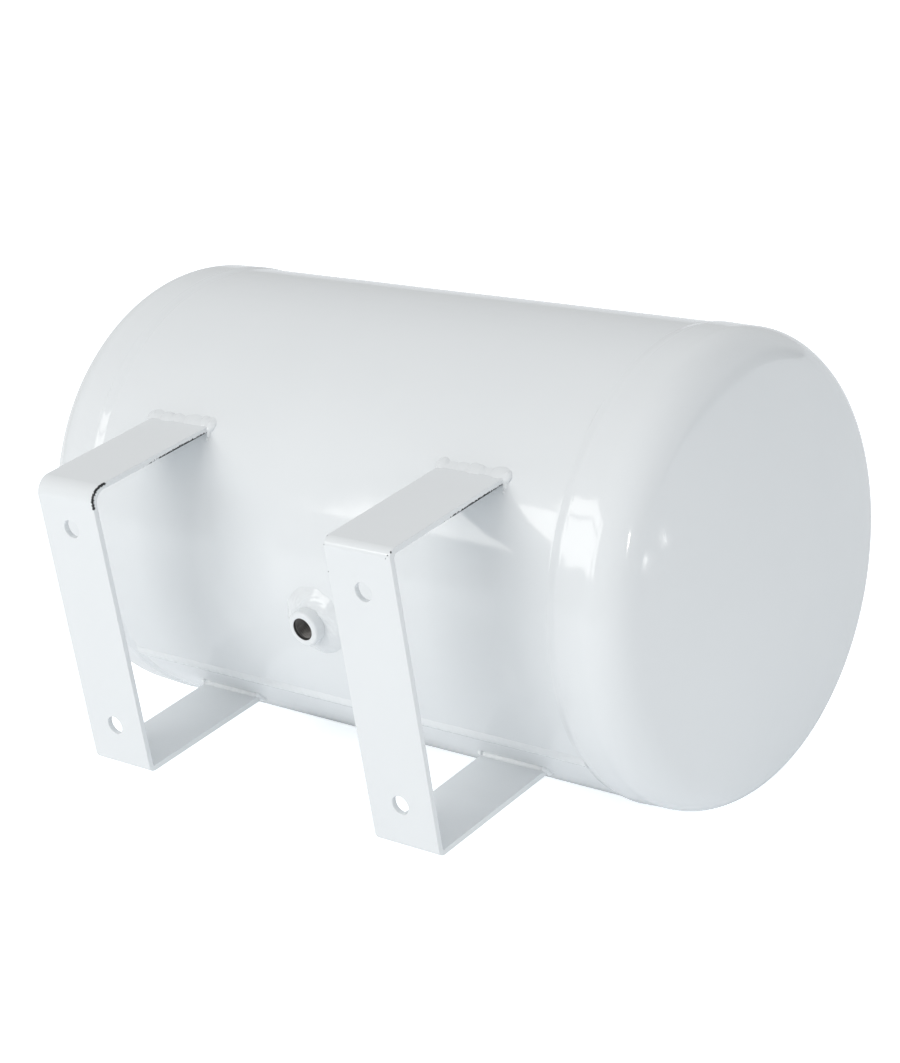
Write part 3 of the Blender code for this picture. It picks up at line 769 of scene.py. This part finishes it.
def make_port_socket(paint, steel):
    """Painted outside, bare and threaded inside."""
    edge = 0.5 * MM
    chamfer = 1.1 * MM
    outer = [(PORT_RADIUS, PORT_BOTTOM), (PORT_RADIUS, PORT_FACE - chamfer - edge)]
    shoulder = chamfer + edge / 2
    outer += arc((PORT_RADIUS - shoulder, PORT_FACE - shoulder), shoulder, 0, 90, 6)
    mouth = PIPE_BORE + 0.25 * MM
    outer += arc((mouth + 0.3 * MM, PORT_FACE - 0.3 * MM), 0.3 * MM, 90, 180, 3)
    painted = len(outer)
    inner = thread_rows(PORT_BOTTOM, PORT_FACE - 1.0 * MM, PIPE_PITCH, PIPE_BORE, PIPE_DEPTH, 1)[::-1]
    rows = outer + inner
    bare = range(painted - 1, len(rows))
    mesh = turned_rows("threaded_socket", rows, PORT_FRAME, 96, material_rows=bare)
    sharpen(mesh, 40)
    return link("threaded_socket", mesh, [paint, steel], "white_paint", "port_socket")


def make_valve(paint, brass, rubber, plastic):
    """The welded spud, the washer on it, and the stem and cap that stand in it."""
    bore = 5.1 * MM
    edge = 0.5 * MM
    boss = [(bore, BOSS_TOP - 14 * MM), (BOSS_RADIUS, BOSS_TOP - 14 * MM), (BOSS_RADIUS, 0)]
    boss += arc((BOSS_RADIUS - edge, BOSS_TOP - edge), edge, 0, 90, 5)
    boss += arc((bore + edge / 2, BOSS_TOP - edge / 2), edge / 2, 90, 180, 3)
    mesh = turned("boss_spud", boss, VALVE_FRAME, 96)
    sharpen(mesh)
    link("boss_spud", mesh, [paint], "white_paint", "valve_boss")

    low, high = BOSS_TOP + 0.25 * MM, 8.55 * MM
    middle = (low + high) / 2
    washer = [(bore + 0.2 * MM, high), (bore + 0.2 * MM, low), (7.5 * MM, low)]
    washer += arc((7.5 * MM, middle), middle - low, -90, 90, 8)
    link("stem_washer", turned("stem_washer", washer, VALVE_FRAME, 96), [rubber], "rubber", "valve_stem_seal")
    make_stem(brass)
    make_cap(plastic)


def make_stem(brass):
    """A hexagon with chamfered corners, and a threaded spigot above it."""
    low, high = 8.8 * MM, 13.0 * MM
    across = 6.5 * MM
    corner = across / math.cos(math.pi / 6)

    def hexagon(limit):
        def around(angles):
            inside = (angles + math.pi / 6) % (math.pi / 3) - math.pi / 6
            return np.minimum(across / np.cos(inside), limit)
        return around

    rows = [(4.75 * MM, -5 * MM), (4.75 * MM, low), (hexagon(across), low)]
    rows += [(hexagon(corner), low + 0.55 * MM), (hexagon(corner), high - 0.55 * MM)]
    rows += [(hexagon(across), high)]
    rows += [(STEM_RADIUS - 0.5 * MM, high), (STEM_RADIUS - 0.5 * MM, high + 0.6 * MM)]
    root = STEM_RADIUS - 0.45 * MM
    rows += thread_rows(high + 0.6 * MM, STEM_TOP - 0.4 * MM, VALVE_PITCH, root, 0.42 * MM, 1)
    rows += [(STEM_RADIUS - 0.6 * MM, STEM_TOP), (2.65 * MM, STEM_TOP), (2.65 * MM, 5.4 * MM)]
    rows += [(2.05 * MM, 5.4 * MM), (2.05 * MM, -5 * MM)]
    mesh = turned_rows("valve_stem_body", rows, VALVE_FRAME, 144)
    sharpen(mesh, 35)
    return link("valve_stem_body", mesh, [brass], "brass", "valve_stem")


def make_cap(plastic):
    """A screwed cap with twelve rounded flutes, a plain collar at its mouth and a domed top."""
    radius = 6.0 * MM
    flutes = 12

    def fluted(size, depth):
        def around(angles):
            return size - depth * np.clip(np.cos(flutes * angles), 0, 1) ** 0.7
        return around

    hole = 4.15 * MM
    rows = [(hole, CAP_BOTTOM), (radius - 0.3 * MM, CAP_BOTTOM), (radius, CAP_BOTTOM + 0.3 * MM)]
    rows += [(radius, CAP_BOTTOM + 1.6 * MM), (fluted(radius, 0.15 * MM), CAP_BOTTOM + 1.9 * MM)]
    rows += [(fluted(radius, 0.5 * MM), height) for height in (CAP_BOTTOM + 2.4 * MM, CAP_TOP - 2.6 * MM)]
    rows += [(fluted(radius - 0.05 * MM, 0.3 * MM), CAP_TOP - 1.8 * MM)]
    rows += arc((radius - 1.4 * MM, CAP_TOP - 1.5 * MM), 1.35 * MM, 5, 80, 6)
    rows += [(2.0 * MM, CAP_TOP - 0.05 * MM), (0.0, CAP_TOP)]
    rows += [(0.0, STEM_TOP + 1.5 * MM), (hole, STEM_TOP + 1.5 * MM)]
    mesh = turned_rows("dust_cap", rows, VALVE_FRAME, 192)
    sharpen(mesh, 40)
    return link("dust_cap", mesh, [plastic], "black_plastic", "valve_cap", body="cap")


# ---------------------------------------------------------------- stage

def make_camera():
    azimuth, elevation, roll = (math.radians(a) for a in (CAMERA_AZIMUTH, CAMERA_ELEVATION, CAMERA_ROLL))
    back = Vector((
        math.sin(azimuth) * math.cos(elevation),
        -math.cos(azimuth) * math.cos(elevation),
        math.sin(elevation),
    ))
    right = (-back).cross(Vector((0, 0, 1))).normalized()
    up = right.cross(-back)
    tilted_right = math.cos(roll) * right + math.sin(roll) * up
    tilted_up = math.cos(roll) * up - math.sin(roll) * right
    place = Matrix((tilted_right, tilted_up, back)).transposed().to_4x4()
    place.translation = CAMERA_TARGET + back * CAMERA_DISTANCE
    camera = bpy.data.objects.new("camera", bpy.data.cameras.new("camera"))
    bpy.context.scene.collection.objects.link(camera)
    camera.matrix_world = place
    camera.data.sensor_width = 36.0
    camera.data.lens = CAMERA_LENS
    camera.data.clip_start = 0.01
    bpy.context.scene.camera = camera
    return camera


def make_floor():
    """A pale floor that glows as painted light for all but camera rays, its glow painted out under the vessel
    as a painted shadow. The camera sees it nearly white.
    """
    bm = bmesh.new()
    bmesh.ops.create_circle(bm, cap_ends=True, segments=96, radius=6.0)
    mesh = bpy.data.meshes.new("floor")
    bm.to_mesh(mesh)
    bm.free()
    floor = bpy.data.objects.new("floor", mesh)
    floor.location = (0, AXIS_Y, CAD_LOW.z - 0.5 * MM)
    bpy.context.scene.collection.objects.link(floor)
    finish = Finish("pale_floor")
    speckle = finish.noise(0.4, 2.0)
    finish.set(Base_Color=finish.mix(speckle, (0.84, 0.86, 0.88, 1), (0.88, 0.895, 0.91, 1)), Roughness=0.6)
    finish.shader.inputs["Emission Color"].default_value = (0.92, 0.965, 1.0, 1)
    # Painted light and shadow: the glow rises to FLOOR_GLOW outside an ellipse under the vessel and is nil
    # inside it
    away = finish.length(finish.vector("DIVIDE", finish.place, (SHELL_END, SHELL_RADIUS * 0.75, 1.0)))
    glow = finish.remap(away, 0.75, 1.25, 0.0, FLOOR_GLOW)
    seen = finish.add("ShaderNodeLightPath").outputs["Is Camera Ray"]
    pick = finish.add("ShaderNodeMix", {0: seen, 2: glow, 3: FLOOR_SEEN}).outputs[0]
    finish.put(finish.shader.inputs["Emission Strength"], pick)
    mesh.materials.append(finish.material)
    return floor


def make_world():
    """A soft pale room, lighter overhead, to the right and in front, with a dim corner and a pale one."""
    world = bpy.data.worlds.new("studio")
    world.use_nodes = True
    bpy.context.scene.world = world
    tree = world.node_tree
    background = tree.nodes["Background"]
    place = tree.nodes.new("ShaderNodeTexCoord").outputs["Generated"]
    dim = room_corner(tree, place, DIM_CORNER, DIM_ANGLES, ROOM_LEVEL, -DIM_DEPTH)
    pale = room_corner(tree, place, PALE_CORNER, PALE_ANGLES, 0.0, PALE_RISE)
    level = pair(tree, "ADD", dim, pale)
    level = pair(tree, "ADD", level, along_direction(tree, place, ROOM_LEAN))
    level = pair(tree, "MAXIMUM", level, ROOM_LEAST)
    pick = tree.nodes.new("ShaderNodeMix")
    tree.links.new(tree.nodes.new("ShaderNodeLightPath").outputs["Is Camera Ray"], pick.inputs[0])
    tree.links.new(level, pick.inputs[2])
    pick.inputs[3].default_value = ROOM_SEEN
    tree.links.new(pick.outputs[0], background.inputs["Strength"])
    background.inputs["Color"].default_value = ROOM_COLOUR


def pair(tree, operation, first, second):
    """A sum or other operation on a socket and a second socket or number."""
    made = tree.nodes.new("ShaderNodeMath")
    made.operation = operation
    tree.links.new(first, made.inputs[0])
    if isinstance(second, float):
        made.inputs[1].default_value = second
    else:
        tree.links.new(second, made.inputs[1])
    return made.outputs[0]


def room_corner(tree, place, facing, angles, base, change):
    """The base level, changed within the smaller of two angles of a direction and fading to the larger."""
    made = tree.nodes.new("ShaderNodeMapRange")
    made.interpolation_type = "SMOOTHSTEP"
    tree.links.new(along_direction(tree, place, toward(*facing)), made.inputs["Value"])
    narrow, wide = (math.cos(math.radians(angle)) for angle in angles)
    ranges = {"From Min": wide, "From Max": narrow, "To Min": base, "To Max": base + change}
    for key, value in ranges.items():
        made.inputs[key].default_value = value
    return made.outputs[0]


def along_direction(tree, place, direction):
    """How far the view direction runs along this one."""
    made = tree.nodes.new("ShaderNodeVectorMath")
    made.operation = "DOT_PRODUCT"
    tree.links.new(place, made.inputs[0])
    made.inputs[1].default_value = direction
    return made.outputs["Value"]


def make_panel(name, centre, facing, width, height, radiance):
    """A rectangular light whose face has this radiance, pointed at a spot."""
    light = bpy.data.lights.new(name, "AREA")
    light.shape = "RECTANGLE"
    light.size, light.size_y = width, height
    light.energy = radiance * math.pi * width * height
    light.color = WINDOW_COLOUR
    panel = bpy.data.objects.new(name, light)
    panel.location = centre
    panel.rotation_mode = "QUATERNION"
    panel.rotation_quaternion = (Vector(facing) - Vector(centre)).to_track_quat("-Z", "Y")
    panel.visible_camera = False
    bpy.context.scene.collection.objects.link(panel)
    return panel


def toward(azimuth, elevation):
    """Unit vector for an azimuth from -Y toward +X and an elevation, in degrees."""
    turn, rise = math.radians(azimuth), math.radians(elevation)
    return Vector((math.sin(turn) * math.cos(rise), -math.cos(turn) * math.cos(rise), math.sin(rise)))


def make_window(name, centre, distance, left, right, bottom, top, radiance):
    """A window pane that spans these azimuths and elevations, seen from the centre."""
    middle = toward((left + right) / 2, (bottom + top) / 2)
    narrowing = math.cos(math.radians((bottom + top) / 2))
    width = 2 * distance * math.tan(math.radians(right - left) / 2) * narrowing
    height = 2 * distance * math.tan(math.radians(top - bottom) / 2)
    return make_panel(name, centre + distance * middle, centre, width, height, radiance)


def make_lights():
    """A window at the front left, with a transom and a post, and small bright spots to the right."""
    shoulder = Vector((SHELL_END, AXIS_Y - 0.8 * SHELL_RADIUS, 0.5 * SHELL_RADIUS))
    for index, (left, right, bottom, top, radiance) in enumerate(WINDOW_PANES):
        make_window(f"pane_{index}", shoulder, WINDOW_DISTANCE, left, right, bottom, top, radiance)
    knuckle = Vector((SHELL_END + 42 * MM, AXIS_Y - 85 * MM, 53 * MM))
    for index, (azimuth, elevation, width, height) in enumerate(GLINTS):
        centre = knuckle + GLINT_DISTANCE * toward(azimuth, elevation)
        make_panel(f"glint_{index}", centre, knuckle, width, height, GLINT_RADIANCE)


# ---------------------------------------------------------------- build

def round_spot(centre, radius):
    """A bare spot that is a ball."""
    return (centre, (radius, radius, radius))


def flange_edge_shade_spot(side):
    """Painted shade: a dark strip, drawn as bare steel, along the upper flange's lower edge near the shell,
    where the corner lies in shade.
    """
    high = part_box(f"bracket_{side}")[1]
    middle, half_length = 0.76 * high.y, 0.27 * high.y
    return ((high.x, middle, high.z - STRAP), (1.0 * MM, half_length, 1.1 * MM))


def chip_and_shade_spots():
    """Where the right bracket's bend has lost specks of paint, and the painted shade strip under its upper
    flange's edge.

    Each speck is (x, y, z, radius) in millimetres, from the upper left or the upper right corner of the bar.
    """
    low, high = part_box("bracket_right")
    left_specks = ((0.4, 3.2, -0.1, 0.4), (0.5, 0.4, -3.3, 0.4), (0.3, 0.1, -17.0, 0.4))
    right_specks = ((-0.3, 1.6, -1.2, 0.55), (-1.6, 0.6, -2.6, 0.4), (-2.6, 0.2, -4.0, 0.35))
    # The first spot is painted shade under the flange's edge; the rest are chips of paint
    spots = [flange_edge_shade_spot("right")]
    for corner_x, specks in ((low.x, left_specks), (high.x, right_specks)):
        for x, y, z, radius in specks:
            spots.append(round_spot((corner_x + x * MM, low.y + y * MM, high.z + z * MM), radius * MM))
    return spots


def bend_marks_and_shade_spots():
    """The left bracket's upper bend: dark spots along its outer corner, and the painted shade strip under its
    upper flange's edge.
    """
    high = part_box("bracket_left")[1]
    bend = UPPER_BEND["left"]
    reach = bend - 0.3 * MM
    # The first spot is painted shade under the flange's edge; the rest are dark marks round the bend
    spots = [flange_edge_shade_spot("left")]
    for y, z in arc((bend, high.z - bend), reach, 78, 188, 11):
        spots.append(round_spot((high.x, y, z), 1.0 * MM))
    return spots


def shorten_spring():
    """Gives the valve spring a mesh of its own."""
    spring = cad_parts["valve_spring"]
    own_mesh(spring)


def main():
    make_camera()
    make_world()
    make_lights()
    make_floor()
    paint = white_paint()
    steel = metal_finish("dark_thread_steel", ((0.10, 0.10, 0.10, 1), (0.22, 0.21, 0.20, 1)), (0.32, 0.5))
    band_steel = metal_finish("band_steel", ((0.42, 0.42, 0.43, 1), (0.52, 0.52, 0.53, 1)), (0.3, 0.45))
    brass = metal_finish("turned_brass", ((0.66, 0.47, 0.20, 1), (0.78, 0.58, 0.28, 1)), (0.2, 0.34))
    rubber = moulded_finish("black_rubber", (0.018, 0.018, 0.019, 1), (0.035, 0.035, 0.036, 1), 0.62)
    plastic = moulded_finish("black_cap_plastic", (0.02, 0.02, 0.022, 1), (0.03, 0.03, 0.033, 1), 0.38)
    make_shell(paint)
    make_head("right", 1, 0.0, paint)
    make_head("left", -1, BOSS_RADIUS + 0.3 * MM, paint)
    make_seam_bead(paint)
    # Strap paints with dark spots: painted shade under each upper flange's edge, chips on the right, dark
    # marks round the left bend
    straps = {
        "left": white_paint("left_strap_paint", bend_marks_and_shade_spots()),
        "right": white_paint("right_strap_paint", chip_and_shade_spots()),
    }
    for side, sign in (("left", -1), ("right", 1)):
        make_girth_weld(side, sign, paint)
        make_bracket(side, straps[side])
        make_upper_bead(side, paint)
        make_lower_bead(side, paint)
    make_port_socket(paint, steel)
    make_port_bead(paint)
    make_boss_bead(paint)
    make_valve(paint, brass, rubber, plastic)
    inside = {
        "diaphragm": rubber,
        "diaphragm_clamp_band": band_steel,
        "valve_core_barrel": brass,
        "valve_pin": brass,
        "valve_pin_seal": rubber,
        "valve_spring": band_steel,
        "valve_cap_seal": rubber,
    }
    for name, material in inside.items():
        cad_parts[name].data.materials[0] = material
    shorten_spring()


main()
bpy.context.scene.view_settings.view_transform = "Standard"
bpy.context.view_layer.update()
